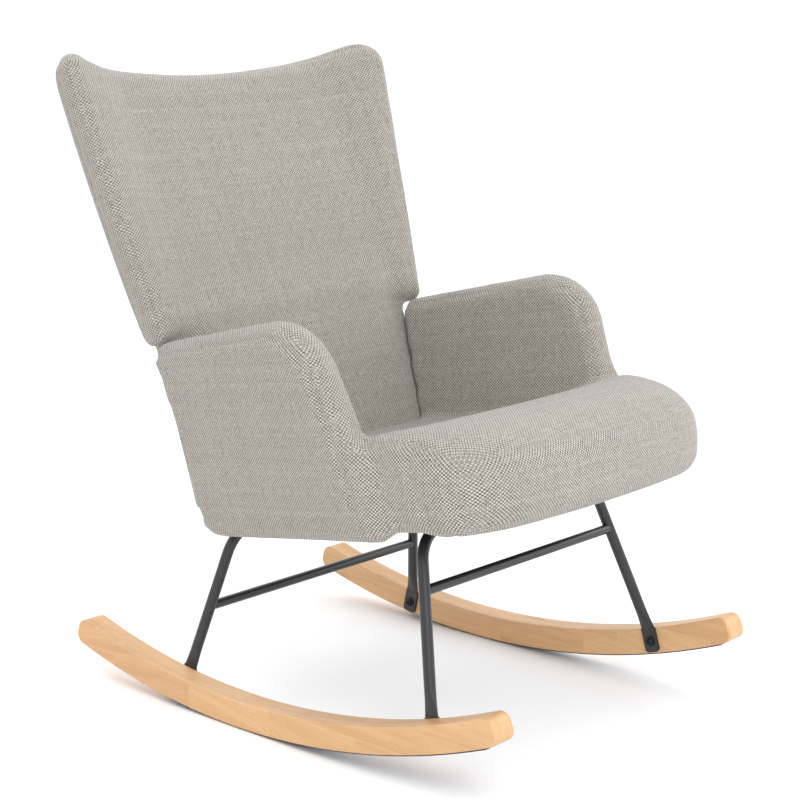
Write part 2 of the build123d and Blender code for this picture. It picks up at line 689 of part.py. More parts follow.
# ---- Padding and covers of the seat and arms ------------------------------------------------
left_arm_padding = mirror(right_arm_padding, about=Plane.YZ)
with BuildPart() as seat_foam:
    add(seat_body(COVER_THICKNESS))
    for piece in (right_arm_padding, left_arm_padding, seat_board.part, rear_rail_part):
        add(piece, mode=Mode.SUBTRACT)
    for piece in (front_rail.part, seat_webbing.part, hollow_part):
        add(piece, mode=Mode.SUBTRACT)
save("seat_foam", seat_foam.part.solids().sort_by(SortBy.VOLUME)[-1])

with BuildPart() as arm_foam_right:
    add(right_arm_padding)
    for piece in (panel_right.part, seat_board.part, rear_rail_part, seat_webbing.part, hollow_part):
        add(piece, mode=Mode.SUBTRACT)
arm_foam_part = arm_foam_right.part
save("arm_foam_right", arm_foam_part)
save("arm_foam_left", mirror(arm_foam_part, about=Plane.YZ))

opening_rear = SEAT_REAR - DUST_MARGIN
opening_front = BOARD_FRONT + DUST_MARGIN
with BuildPart() as opening:
    with BuildSketch(seat_plane()) as plan:
        with Locations((0, (opening_front + opening_rear) / 2)):
            Rectangle(2 * DUST_HALF_WIDTH, opening_rear - opening_front)
        fillet(plan.vertices(), radius=DUST_CORNER)
    extrude(amount=COVER_THICKNESS)
with BuildPart() as plate_holes:
    with BuildSketch(seat_plane()):
        with Locations(*plate_points):
            Circle(hole_radius)
    extrude(amount=board_bottom)
with BuildPart() as underside_cloth:
    add(opening.part)
    add(plate_holes.part, mode=Mode.SUBTRACT)
save("underside_cloth", underside_cloth.part)

with BuildPart() as back_bolt_holes:
    with BuildSketch(back_face_plane(-BACK_LOW_THICKNESS)):
        with Locations(*back_bolt_points):
            Circle(hole_radius)
    extrude(amount=BACK_LOW_THICKNESS + BACK_GAP + COVER_THICKNESS)

right_arm = arm_body(0, ARM_THICKNESS)
left_arm = mirror(right_arm, about=Plane.YZ)
seat_padding = seat_body(COVER_THICKNESS)
seat_surface = seat_body(0)
with BuildPart() as seat_cover:
    for piece in (right_arm, left_arm, seat_surface):
        add(piece)
    for piece in (seat_padding, right_arm_padding, left_arm_padding, opening.part):
        add(piece, mode=Mode.SUBTRACT)
    for piece in (plate_holes.part, back_bolt_holes.part):
        add(piece, mode=Mode.SUBTRACT)
save("seat_cover", seat_cover.part)


# ---- Outer forms of the back ----------------------------------------------------------------
def back_outline(half, front_middle, front_edge, rear_middle, rear_edge, up, corner):
    """Plan section of the back at a height: two arcs joined by straight ends."""
    with BuildSketch(back_plane(up)) as section:
        with BuildLine():
            front = ThreePointArc((-half, front_edge), (0, front_middle), (half, front_edge))
            rear = ThreePointArc((-half, rear_edge), (0, rear_middle), (half, rear_edge))
            Line(front @ 0, rear @ 0)
            Line(front @ 1, rear @ 1)
        make_face()
        fillet(section.vertices(), radius=corner)
    return section.sketch


def wing_section(up, rear_middle, wing, inset):
    """Section through the winged part of the back."""
    front = rear_middle + BACK_THICKNESS - inset
    rear = rear_middle + inset
    half = TOP_HALF_WIDTH - inset
    corner = max(BACK_EDGE_ROUND - inset, FIT_GAP)
    return back_outline(half, front, front + wing, rear, rear + wing, up, corner)


def upper_back(inset):
    """The winged part of the back, from the shoulders to the top edge."""
    low = wing_section(BACK_SHOULDER, SHOULDER_REAR, SHOULDER_WING, inset)
    high = wing_section(BACK_TOP, TOP_REAR, TOP_WING, inset)
    with BuildPart() as body:
        loft([low, high], ruled=True)
        with BuildSketch(back_face_plane()) as outline:
            with BuildLine():
                right = ThreePointArc(
                    (SHOULDER_HALF_WIDTH, BACK_SHOULDER),
                    (WAIST_HALF_WIDTH, BACK_WAIST),
                    (TOP_HALF_WIDTH, BACK_TOP),
                )
                left = ThreePointArc(
                    (-SHOULDER_HALF_WIDTH, BACK_SHOULDER),
                    (-WAIST_HALF_WIDTH, BACK_WAIST),
                    (-TOP_HALF_WIDTH, BACK_TOP),
                )
                ThreePointArc(right @ 1, (0, BACK_TOP - BACK_DIP), left @ 1)
                Line(right @ 0, left @ 0)
            make_face()
            fillet(outline.vertices().group_by(Axis.Y)[-1], radius=WING_CORNER)
            fillet(outline.vertices().group_by(Axis.Y)[0], radius=SHOULDER_CORNER)
            if inset:
                offset(amount=-inset, mode=Mode.REPLACE)
        extrude(amount=BACK_TOP, both=True, mode=Mode.INTERSECT)
    return body.part


def soft_back(inset):
    """The whole back: wings, the part behind the arms and the pad between the arms."""
    top = BACK_SHOULDER + BACK_LAP
    half = BACK_LOW_HALF_WIDTH - inset
    low_rear = -BACK_LOW_THICKNESS + inset
    high_rear = SHOULDER_REAR + inset
    corner = LUMBAR_CORNER - inset
    low = back_outline(half, -inset, -inset + FIT_GAP, low_rear, low_rear + FIT_GAP, 0, corner)
    rise = SHOULDER_WING * (BACK_LOW_HALF_WIDTH / TOP_HALF_WIDTH) ** 2
    high = back_outline(half, -inset, -inset + FIT_GAP, high_rear, high_rear + rise, top, corner)
    wings = upper_back(inset)
    with BuildPart() as body:
        loft([low, high], ruled=True)
        with BuildSketch(back_face_plane(-LUMBAR_PAD)) as pad:
            with Locations((0, (LUMBAR_BOTTOM + LUMBAR_TOP) / 2)):
                Rectangle(2 * (LUMBAR_HALF_WIDTH - inset), LUMBAR_TOP - LUMBAR_BOTTOM - 2 * inset)
            fillet(pad.vertices(), radius=LUMBAR_CORNER - inset)
        extrude(amount=2 * LUMBAR_PAD - inset)
        add(wings)
        split(bisect_by=seat_plane(ledge_height + BACK_GAP + inset), keep=Keep.TOP)
    return body.part


# ---- Wooden frame of the back ---------------------------------------------------------------
def frame_face_plane(forward=0.0):
    """Plane along the wooden frame of the back: local X is the chair's, local Y climbs."""
    recline = radians(BACK_RECLINE + FRAME_LEAN)
    foot = Vector(0, back_foot_y - FRAME_PLACE * back_cos, back_foot_z + FRAME_PLACE * back_sin)
    normal = Vector(0, -cos(recline), sin(recline))
    return Plane(origin=foot + normal * forward, x_dir=(1, 0, 0), z_dir=normal)


back_foot_cut = seat_plane(ledge_height + BACK_GAP + COVER_THICKNESS)
with BuildPart() as upright_right:
    with BuildSketch(frame_face_plane(-UPRIGHT_DEPTH / 2)):
        with Locations((UPRIGHT_SPACING / 2, UPRIGHT_TOP / 2)):
            Rectangle(UPRIGHT_WIDTH, UPRIGHT_TOP)
    extrude(amount=UPRIGHT_DEPTH)
    split(bisect_by=back_foot_cut, keep=Keep.TOP)
upright_left_part = mirror(upright_right.part, about=Plane.YZ)
save("back_upright_right", upright_right.part)
save("back_upright_left", upright_left_part)

rail_length = UPRIGHT_SPACING - UPRIGHT_WIDTH
bottom_rail_rear = FRAME_PLACE - UPRIGHT_DEPTH / 2
with BuildPart() as bottom_rail:
    with BuildSketch(back_face_plane(bottom_rail_rear)):
        with Locations((0, BOTTOM_RAIL_PLACE)):
            Rectangle(rail_length, RAIL_HEIGHT)
        with Locations(*back_bolt_points):
            Circle(hole_radius, mode=Mode.SUBTRACT)
    extrude(amount=RAIL_THICKNESS)
save("back_bottom_rail", bottom_rail.part)

back_rails = []
for name, place in (("middle", MIDDLE_RAIL_PLACE), ("top", UPRIGHT_TOP - RAIL_HEIGHT / 2)):
    with BuildPart() as cross_rail:
        with BuildSketch(frame_face_plane(-RAIL_THICKNESS / 2)):
            with Locations((0, place)):
                Rectangle(rail_length, RAIL_HEIGHT)
        extrude(amount=RAIL_THICKNESS)
    save(f"back_{name}_rail", cross_rail.part)
    back_rails.append(cross_rail.part)

with BuildPart() as back_webbing:
    with BuildSketch(frame_face_plane(UPRIGHT_DEPTH / 2 + FIT_GAP)):
        with Locations(*[(0, place) for place in BACK_STRAP_PLACES]):
            Rectangle(UPRIGHT_SPACING + UPRIGHT_WIDTH, WEBBING_WIDTH)
    extrude(amount=WEBBING_THICKNESS)
save("back_webbing", back_webbing.part)

wing_core = upper_back(WING_PANEL_DEPTH)
with BuildPart() as wing_panel:
    add(wing_core)
    split(bisect_by=Plane.YZ.offset((UPRIGHT_SPACING + UPRIGHT_WIDTH) / 2), keep=Keep.TOP)
wing_panel_left = mirror(wing_panel.part, about=Plane.YZ)
save("wing_panel_right", wing_panel.part)
save("wing_panel_left", wing_panel_left)

# ---- Bolts that hold the back on the seat ---------------------------------------------------
back_seats = [
    Plane(
        origin=back_face_plane(bottom_rail_rear).from_local_coords(Vector(x, up, 0)),
        z_dir=(0, back_cos, -back_sin),
    )
    for x, up in back_bolt_points
]
rail_front = BACK_GAP + COVER_THICKNESS + RAIL_THICKNESS
fasten("back", back_seats, rail_front - bottom_rail_rear)
tee_nuts(
    "back_tee_nuts",
    [
        Plane(
            origin=back_face_plane(rail_front).from_local_coords(Vector(x, up, 0)),
            z_dir=(0, -back_cos, back_sin),
        )
        for x, up in back_bolt_points
    ],
)

# ---- Padding and cover of the back ----------------------------------------------------------
with BuildPart() as access_holes:
    with BuildSketch(back_face_plane(bottom_rail_rear)):
        with Locations(*back_bolt_points):
            Circle(BACK_BOLT_ACCESS / 2)
    extrude(amount=-BACK_LOW_THICKNESS)

back_padding = soft_back(COVER_THICKNESS)
back_surface = soft_back(0)
back_core = soft_back(WADDING_DEPTH)
with BuildPart() as back_space:
    with BuildSketch(frame_face_plane(UPRIGHT_DEPTH / 2)):
        with Locations((0, UPRIGHT_TOP / 2)):
            Rectangle(rail_length, UPRIGHT_TOP)
    extrude(amount=-BACK_THICKNESS)
    add(back_core, mode=Mode.INTERSECT)

with BuildPart() as back_foam:
    add(back_padding)
    for piece in (upright_right.part, upright_left_part, bottom_rail.part, *back_rails):
        add(piece, mode=Mode.SUBTRACT)
    for piece in (back_webbing.part, wing_panel.part, wing_panel_left, back_space.part):
        add(piece, mode=Mode.SUBTRACT)
    for piece in (access_holes.part, back_bolt_holes.part):
        add(piece, mode=Mode.SUBTRACT)
save("back_foam", back_foam.part.solids().sort_by(SortBy.VOLUME)[-1])

with BuildPart() as back_cover:
    add(back_surface)
    for piece in (back_padding, access_holes.part, back_bolt_holes.part):
        add(piece, mode=Mode.SUBTRACT)
save("back_cover", back_cover.part)
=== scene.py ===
# %% [markdown]
# # A wing-back rocking chair
# The chair has two kinds of pieces. The hard ones (wooden rockers, steel tube, bolts) come
# ready made with true shapes from the CAD frame, and only need a finish. The soft ones (the
# seat with its arms, and the winged back) come as plain stand-ins, so they are made here.
# First the frame is loaded.

# %% Load the frame
import json
import math

import bmesh
import bpy
import numpy as np
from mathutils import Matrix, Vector


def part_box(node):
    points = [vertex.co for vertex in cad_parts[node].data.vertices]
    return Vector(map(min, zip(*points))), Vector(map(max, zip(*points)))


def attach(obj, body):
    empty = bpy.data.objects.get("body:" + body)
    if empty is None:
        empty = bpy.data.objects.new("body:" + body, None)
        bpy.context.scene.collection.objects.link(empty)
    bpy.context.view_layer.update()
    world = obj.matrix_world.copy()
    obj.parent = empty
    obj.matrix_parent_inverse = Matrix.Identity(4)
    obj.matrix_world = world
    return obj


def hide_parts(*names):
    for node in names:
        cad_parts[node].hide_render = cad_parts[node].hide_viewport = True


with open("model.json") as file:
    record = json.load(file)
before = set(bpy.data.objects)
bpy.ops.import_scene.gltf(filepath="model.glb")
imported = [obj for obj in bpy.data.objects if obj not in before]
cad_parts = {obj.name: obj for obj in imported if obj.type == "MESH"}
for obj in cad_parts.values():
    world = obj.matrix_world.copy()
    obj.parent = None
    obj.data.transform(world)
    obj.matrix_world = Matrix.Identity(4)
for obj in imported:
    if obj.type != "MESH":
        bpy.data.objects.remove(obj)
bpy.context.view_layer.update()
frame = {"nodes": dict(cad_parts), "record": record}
print("pieces in the frame:", len(frame["nodes"]))

# %% [markdown]
# ## Where things are
# The seat tips back, the back reclines and the arms lean outwards and toe in. It is easiest
# to describe each padded piece in axes of its own, as an upholsterer would on the bench:
# along the seat, square to it, up the back. These few lines turn points on the bench into
# points of the room, and points on one bench into points on the other. The rockers roll on
# an arc, and the place where they touch the floor at rest is the zero of all lengths along
# the seat.

# %% Bench axes of the seat, the back and the arms
STRIP_REACH = 0.458
contact_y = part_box("antislip_strip_right")[0][1] + STRIP_REACH
seat_tilt = math.radians(9.3)
back_recline = math.radians(20.0)
SEAT_UNDERSIDE = 0.284
SEAT_REAR = 0.062
BACK_GAP = 0.0015


def seat_to_room(points):
    """Turns points (across, along the seat, square to it) into room points."""
    x, along, up = points.T
    y = contact_y + along * math.cos(seat_tilt) + up * math.sin(seat_tilt)
    z = SEAT_UNDERSIDE - along * math.sin(seat_tilt) + up * math.cos(seat_tilt)
    return np.stack([x, y, z], axis=1)


back_foot = seat_to_room(np.array([[0.0, SEAT_REAR + BACK_GAP, 0.0]]))[0]


def back_to_room(points):
    """Turns points (across, forward, up the back) into room points."""
    x, forward, up = points.T
    y = back_foot[1] - forward * math.cos(back_recline) + up * math.sin(back_recline)
    z = back_foot[2] + forward * math.sin(back_recline) + up * math.cos(back_recline)
    return np.stack([x, y, z], axis=1)


def seat_to_back(x, along, up):
    """Turns bench points of the seat into bench points of the back."""
    turn = back_recline - seat_tilt
    step = along - (SEAT_REAR + BACK_GAP)
    forward = -step * math.cos(turn) + up * math.sin(turn)
    climb = step * math.sin(turn) + up * math.cos(turn)
    return x, forward, climb


def back_to_seat(x, forward, climb):
    """Turns bench points of the back into bench points of the seat."""
    turn = back_recline - seat_tilt
    along = SEAT_REAR + BACK_GAP - forward * math.cos(turn) + climb * math.sin(turn)
    up = forward * math.sin(turn) + climb * math.cos(turn)
    return x, along, up


print("the rockers touch the floor at y =", round(contact_y, 4))

# %% [markdown]
# ## How a padded form is made
# Foam has no sharp edges: where two faces meet the cover pulls the foam into a round. One
# could model that by hand with a subdivision cage, but the arm, the seat and the side panel
# flow into each other here, and a cage for that is fiddly. Instead the foam is described by
# a distance: for any point, how far it is outside (or, as a minus number, inside) the foam.
# Distances join well. The larger of two cuts one shape with another, the smaller adds them,
# and a little extra arithmetic rounds the edge or fills the corner with a chosen radius.


# %% Joining distances
def cut_round(a, b, radius):
    """Keeps what is inside both, with the edge between them rounded."""
    u = np.maximum(a + radius, 0)
    v = np.maximum(b + radius, 0)
    return np.minimum(np.maximum(a, b), -radius) + np.sqrt(u * u + v * v)


def add_soft(a, b, radius):
    """Joins two shapes, with the inner corner between them filled softly."""
    overlap = np.maximum(radius - np.abs(a - b), 0) / radius
    return np.minimum(a, b) - overlap * overlap * radius * 0.25


def smooth_step(low, high, value):
    """Goes from 0 at low to 1 at high without a kink."""
    t = np.clip((value - low) / (high - low), 0, 1)
    return t * t * (3 - 2 * t)


def bezier(points, count=24):
    """Points along a curve through the first and last of four handles."""
    p0, p1, p2, p3 = (np.array(p, dtype=float) for p in points)
    t = np.linspace(0, 1, count, endpoint=False)[:, None]
    return (1 - t) ** 3 * p0 + 3 * t * (1 - t) ** 2 * p1 + 3 * t * t * (1 - t) * p2 + t ** 3 * p3


def outline_distance(px, py, outline):
    """Distance of points from a closed outline, minus inside it."""
    best = np.full(px.shape, 1e9)
    inside = np.zeros(px.shape, dtype=bool)
    for (ax, ay), (bx, by) in zip(outline, np.roll(outline, -1, axis=0)):
        ex, ey = bx - ax, by - ay
        wx, wy = px - ax, py - ay
        t = np.clip((wx * ex + wy * ey) / (ex * ex + ey * ey), 0, 1)
        best = np.minimum(best, (wx - t * ex) ** 2 + (wy - t * ey) ** 2)
        crosses = (ay > py) != (by > py)
        if ay != by:
            inside ^= crosses & (px < ax + (py - ay) * ex / ey)
    return np.where(inside, -1, 1) * np.sqrt(best)


print("a rounded inner edge:", round(float(cut_round(np.array(0.0), np.array(0.0), 0.03)), 4))

# %% [markdown]
# ## The skin over the foam
# To get a mesh from a distance, the space is divided into small cubes. Every cube that the
# surface passes through gets one vertex, at the mean of the places where its edges are cut,
# and neighbouring cubes are joined into quads. This is known as surface nets. It gives even
# quads all over, which is what cloth simulation and subdivision like best.


# %% Surface nets
def skin(field, low, step):
    """Vertices and quads of the surface where a grid of distances is nil."""
    nx, ny, nz = field.shape
    corners = [(i, j, k) for i in (0, 1) for j in (0, 1) for k in (0, 1)]

    def corner(values, c):
        return values[c[0]:nx - 1 + c[0], c[1]:ny - 1 + c[1], c[2]:nz - 1 + c[2]]

    inside = field < 0
    count = sum(corner(inside, c).astype(int) for c in corners)
    mixed = (count > 0) & (count < 8)
    ids = np.full(mixed.shape, -1)
    ids[mixed] = np.arange(mixed.sum())
    place = np.zeros((mixed.sum(), 3))
    cuts = np.zeros(mixed.sum())
    for c in corners:
        for axis in range(3):
            if c[axis]:
                continue
            d = tuple(v + (n == axis) for n, v in enumerate(c))
            f0, f1 = corner(field, c)[mixed], corner(field, d)[mixed]
            cut = (f0 < 0) != (f1 < 0)
            t = np.where(cut, f0 / np.where(cut, f0 - f1, 1), 0)
            point = np.array(c) + np.array([n == axis for n in range(3)]) * t[:, None]
            place += point * cut[:, None]
            cuts += cut
    verts = low + step * (np.argwhere(mixed) + place / cuts[:, None])
    quads = []
    for axis in range(3):
        u, v = (axis + 1) % 3, (axis + 2) % 3
        first = np.moveaxis(inside, axis, 0)[:-1]
        second = np.moveaxis(inside, axis, 0)[1:]
        change = np.moveaxis(first != second, 0, axis)
        out = np.moveaxis(first, 0, axis)
        at = np.argwhere(change)
        at = at[(at[:, u] > 0) & (at[:, v] > 0)]
        back_u = np.eye(3, dtype=int)[u]
        back_v = np.eye(3, dtype=int)[v]
        ring = [at - back_u - back_v, at - back_v, at, at - back_u]
        quad = np.stack([ids[tuple(r.T)] for r in ring], axis=1)
        flip = ~out[tuple(at.T)]
        quad[flip] = quad[flip][:, ::-1]
        quads.append(quad)
    return verts, np.concatenate(quads)


def new_mesh(name, verts, faces):
    """A smooth-shaded mesh object from vertices and faces."""
    mesh = bpy.data.meshes.new(name)
    mesh.from_pydata([tuple(v) for v in verts], [], [tuple(f) for f in faces])
    mesh.polygons.foreach_set("use_smooth", [True] * len(mesh.polygons))
    mesh.update()
    piece = bpy.data.objects.new(name, mesh)
    bpy.context.scene.collection.objects.link(piece)
    return piece


def grid(low, high, step):
    """Three arrays with the places of a grid of points."""
    axes = [np.arange(a, b + step, step) for a, b in zip(low, high)]
    return np.meshgrid(*axes, indexing="ij")


# %% [markdown]
# ## The seat and its arms
# The seat is a thick cushion with a roll at the front edge: 86 mm thick at the rear, rising
# to 136 mm, and rounded over the front into the underside. Its front edge is bowed, and the
# two front corners are large rounds. The arms are plates of 64 mm with fully rounded edges.
# Outside, arm and seat share one side panel, so there the corner between them is filled
# softly. Inside, the arm dives into a crease at the seat.

# %% Distances for the seat and the arms
SEAT_HALF_WIDTH, SEAT_REAR_HALF_WIDTH = 0.2825, 0.2545
LEDGE_REAR = 0.104
LEDGE_HEIGHT = 0.019
ARM_BASE, ARM_MIDDLE = 0.246, -0.100
ARM_HALF = 0.032
ARM_FRONT_CURVE = 0.080
arm_lean, arm_toe = math.radians(8.5), math.radians(5.5)

seat_profile = np.concatenate([
    bezier([(0.130, 0.086), (0.06, 0.086), (0.0, 0.086), (-0.060, 0.086)], 6),
    bezier([(-0.060, 0.086), (-0.180, 0.086), (-0.250, 0.137), (-0.345, 0.137)]),
    bezier([(-0.345, 0.137), (-0.412, 0.137), (-0.470, 0.108), (-0.472, 0.066)]),
    bezier([(-0.472, 0.066), (-0.474, 0.018), (-0.462, -0.005), (-0.428, -0.005)]),
    bezier([(-0.428, -0.005), (-0.410, -0.005), (-0.400, 0.0), (-0.385, 0.0)], 6),
    [(-0.385, 0.0), (0.130, 0.0)],
])


def seat_front_shift(x):
    """How far the front edge lies behind its middle, at a distance from the middle."""
    corner = np.clip((np.abs(x) - 0.165) / 0.12, 0, 1)
    return 0.033 * (x / 0.285) ** 2 + 0.060 * corner ** 2.5


def seat_distance(x, along, up):
    """Distance from the padded seat, without the arms."""
    shift = seat_front_shift(x) * smooth_step(-0.16, -0.36, along)
    slope = np.clip((np.abs(x) - 0.165) / 0.12, 0, 1) ** 1.3 * 1.44
    steep = 1 + slope * smooth_step(-0.30, -0.40, along)
    body = outline_distance(along - shift, up, seat_profile) / np.sqrt(steep)
    to_rear = np.clip((along + 0.377) / 0.575, 0, 1)
    half = SEAT_HALF_WIDTH + (SEAT_REAR_HALF_WIDTH - SEAT_HALF_WIDTH) * to_rear
    side = np.abs(x) - half - 0.006 * smooth_step(0.0, 0.07, up)
    body = cut_round(body, side, 0.034)
    _, forward, _ = seat_to_back(x, along, up)
    body = cut_round(body, BACK_GAP + 0.0005 - forward, 0.012)
    ledge = cut_round(np.abs(x) - 0.253, along - LEDGE_REAR, 0.022)
    ledge = cut_round(ledge, np.abs(up - LEDGE_HEIGHT / 2) - LEDGE_HEIGHT / 2, 0.006)
    ledge = np.maximum(ledge, -0.2 - along)
    return add_soft(body, ledge, 0.004)


def arm_axes(x, along, up):
    """Place of a point in an arm: to the rear, up the arm and outwards through it."""
    s = np.stack([np.abs(x) - ARM_BASE, along - ARM_MIDDLE, up])
    rear = np.array([-math.sin(arm_toe), math.cos(arm_toe), 0.0])
    rise = np.array([math.sin(arm_lean), 0.0, math.cos(arm_lean)])
    outward = np.cross(rear, rise)
    outward /= np.linalg.norm(outward)
    rise = np.cross(outward, rear)
    return [np.tensordot(axis, s, axes=1) for axis in (rear, rise, outward)]


def arm_rim(p, q):
    """Distance from the rim of an arm's outline: its top and its sloping front edge."""
    top = (p - 0.2138) * 0.0806 + (q - 0.274) * 0.9967
    front = -(p + 0.190 - 0.2126 * q) * math.cos(math.radians(12))
    return cut_round(top, front, ARM_FRONT_CURVE)


def arm_distance(x, along, up):
    """Distance from an arm, as a plate with rounded edges."""
    p, q, n = arm_axes(x, along, up)
    edge = arm_rim(p, q)
    swell = 0.0025 * smooth_step(0.0, -0.09, edge)
    arm = cut_round(edge, np.abs(n) - ARM_HALF - swell, 0.030)
    _, forward, _ = seat_to_back(x, along, up)
    arm = cut_round(arm, BACK_GAP - forward, 0.007)
    return cut_round(arm, -up, 0.014)


def seat_and_arms(x, along, up):
    """Distance from the seat unit: soft join outside, crease inside."""
    seat = seat_distance(x, along, up)
    arm = arm_distance(x, along, up)
    _, _, n = arm_axes(x, along, up)
    radius = 0.006 + 0.050 * smooth_step(-0.012, 0.016, n)
    return add_soft(seat, arm, radius)


# %% [markdown]
# ## The winged back
# The back is one padded shell, 70 mm thick. In plan it is nearly flat in the middle and then
# turns forward in two wings, which stand out more and more towards the top. Its outline
# widens from the arms to the top, and the top edge dips in the middle. Behind the arms it
# goes on down to the ledge of the seat, and between the arms a shallow pad fills the space
# in front of it.

# %% Distances for the back
SHOULDER, WING_TOP, TOP_DIP = 0.270, 0.714, 0.027
BACK_HALF = 0.0345
BACK_TOP_HALF_WIDTH = 0.330


def wing_curve(x):
    """Share of the wings' forward reach at a place across, and how steep it is there."""
    t = np.abs(x) / BACK_TOP_HALF_WIDTH
    u = (t - 0.62) / 0.38
    root = np.sqrt(u * u + 0.02)
    share = 0.42 * t * t + 0.29 * (u + root)
    steep = (0.84 * t + 0.29 * (1 + u / root) / 0.38) / BACK_TOP_HALF_WIDTH
    return share, steep


def middle_of_back(x, climb):
    """Middle of the winged part's thickness at a place, and how steep it is across."""
    rise = (climb - SHOULDER) / (WING_TOP - SHOULDER)
    share, steep = wing_curve(x)
    reach = 0.045 + 0.039 * rise
    return -0.066 - 0.038 * rise + reach * share + BACK_HALF, reach * steep


def back_half_width(climb):
    """Half width of the winged part at a height."""
    return np.interp(climb, *back_width_curve)


climbs = np.linspace(0.2, 0.8, 40)
bend = np.polyfit([0.280, 0.455, 0.713], [0.287, 0.310, 0.332], 2)
back_width_curve = (climbs, np.polyval(bend, climbs))


def back_distance(x, forward, climb):
    """Distance from the whole padded back."""
    middle, lean = middle_of_back(x, climb)
    shell = (np.abs(forward - middle) - BACK_HALF) / np.sqrt(1 + lean ** 2)
    side = np.abs(x) - back_half_width(climb)
    top = climb - WING_TOP + TOP_DIP * (1 - (x / 0.31) ** 2)
    outline = cut_round(side, top, 0.054)
    outline = cut_round(outline, SHOULDER - climb, 0.008)
    upper = cut_round(shell, outline, 0.0305)
    low_rise = np.clip(climb / 0.304, 0, 1)
    low_rear = -0.040 - 0.026 * low_rise + 0.0243 * low_rise * (x / 0.257) ** 2
    thick = -low_rear / 2
    slab = cut_round(np.abs(forward + thick) - thick, np.abs(x) - 0.2585, 0.015)
    slab = cut_round(slab, climb - 0.31, 0.004)
    pad_front = 0.007 - 0.005 * smooth_step(0.20, 0.34, climb)
    pad = cut_round(np.abs(forward + 0.01) - pad_front - 0.01, np.abs(x) - 0.203, 0.016)
    pad = cut_round(pad, np.abs(climb - 0.20) - 0.135, 0.02)
    back = add_soft(add_soft(upper, slab, 0.006), pad, 0.03)
    _, _, up = back_to_seat(x, forward, climb)
    return cut_round(back, LEDGE_HEIGHT + 0.0015 - up, 0.006)


# %% [markdown]
# ## Stuffing
# The skins are still too regular: real covers are pulled tight over foam, so they bulge a
# little between the seams and settle in the creases. The cloth solver does this. It blows up
# the cover with a light pressure for twenty steps, without gravity, and no point may move
# further than a few millimetres, so that the chair keeps its shape. One round of subdivision
# then smooths the result.

# %% Stuffing with the cloth solver
STEP = 0.0078
MOVE_LIMIT = 0.0055
PRESSURE = 4.0


def points_of(mesh):
    """All vertex places of a mesh as an array."""
    flat = np.empty(len(mesh.vertices) * 3)
    mesh.vertices.foreach_get("co", flat)
    return flat.reshape(-1, 3)


def stuffed(piece):
    """Lets the cloth solver swell a cover, with the movement of each point limited."""
    start = points_of(piece.data)
    cloth = piece.modifiers.new("stuffing", "CLOTH")
    cloth.settings.use_pressure = True
    cloth.settings.uniform_pressure_force = PRESSURE
    cloth.settings.effector_weights.gravity = 0.0
    cloth.settings.quality = 4
    cloth.point_cache.frame_start = 1
    cloth.point_cache.frame_end = 20
    for frame_number in range(1, 21):
        bpy.context.scene.frame_set(frame_number)
    graph = bpy.context.evaluated_depsgraph_get()
    shift = points_of(piece.evaluated_get(graph).data) - start
    piece.modifiers.remove(cloth)
    bpy.context.scene.frame_set(1)
    length = np.linalg.norm(shift, axis=1)[:, None]
    shift *= MOVE_LIMIT / (MOVE_LIMIT + length)
    print(piece.name, "moved in mm: mean", round(float(length.mean()) * 1000, 1),
          "most", round(float(length.max()) * 1000, 1))
    piece.data.vertices.foreach_set("co", (start + shift).ravel())
    piece.data.update()


def subdivided(piece):
    """Replaces the mesh with its smooth subdivision."""
    piece.modifiers.new("smooth", "SUBSURF").levels = 1
    graph = bpy.context.evaluated_depsgraph_get()
    finer = bpy.data.meshes.new_from_object(piece.evaluated_get(graph))
    piece.modifiers.clear()
    piece.data = finer


print("grid step in mm:", STEP * 1000)

# %% [markdown]
# ## Seams
# The seams come last, because they are finer than the grid. Each seam is a line on the bench
# along which the cover is drawn in by a millimetre or two: round the outside of the arms and
# down their fronts, over the front corners of the seat, and round the rim of the back.


# %% Seam lines
RIM_TO_SEAM = 0.015
SEAM_WIDTH = 0.0042


def groove(distance, depth, width):
    """Depth of a seam at a distance from its line."""
    return depth * np.exp(-(distance / width) ** 2)


def seat_seams(x, along, up):
    """How far the cover of the seat unit is drawn in."""
    p, q, n = arm_axes(x, along, up)
    edge = arm_rim(p, q)
    outside = smooth_step(0.018, 0.026, n) * smooth_step(0.015, 0.05, up)
    depth = outside * groove(edge + RIM_TO_SEAM, 0.0026, SEAM_WIDTH)
    inner = smooth_step(-0.018, -0.026, n) * smooth_step(0.085, 0.11, up)
    depth += inner * groove(edge + RIM_TO_SEAM, 0.0016, SEAM_WIDTH)
    corner = along + 0.345 + 3.5 * np.maximum(0.10 - up, 0) ** 2
    depth += smooth_step(0.20, 0.235, np.abs(x)) * groove(corner, 0.0022, 0.0045)
    return depth


def back_seams(x, forward, climb):
    """How far the cover of the back is drawn in."""
    middle, _ = middle_of_back(x, climb)
    rim = np.maximum(np.abs(x) - back_half_width(climb), climb - WING_TOP)
    at_rim = smooth_step(-0.05, -0.02, rim) * smooth_step(SHOULDER + 0.01, SHOULDER + 0.03, climb)
    rear_seam = at_rim * groove(forward - middle + 0.017, 0.0026, SEAM_WIDTH)
    return rear_seam + at_rim * groove(forward - middle - 0.019, 0.0022, SEAM_WIDTH)


def sewn(piece, seams):
    """Draws the cover in along its seams."""
    places = points_of(piece.data)
    normals = np.empty(places.size)
    piece.data.vertices.foreach_get("normal", normals)
    depth = seams(*places.T)
    places -= normals.reshape(-1, 3) * depth[:, None]
    return places


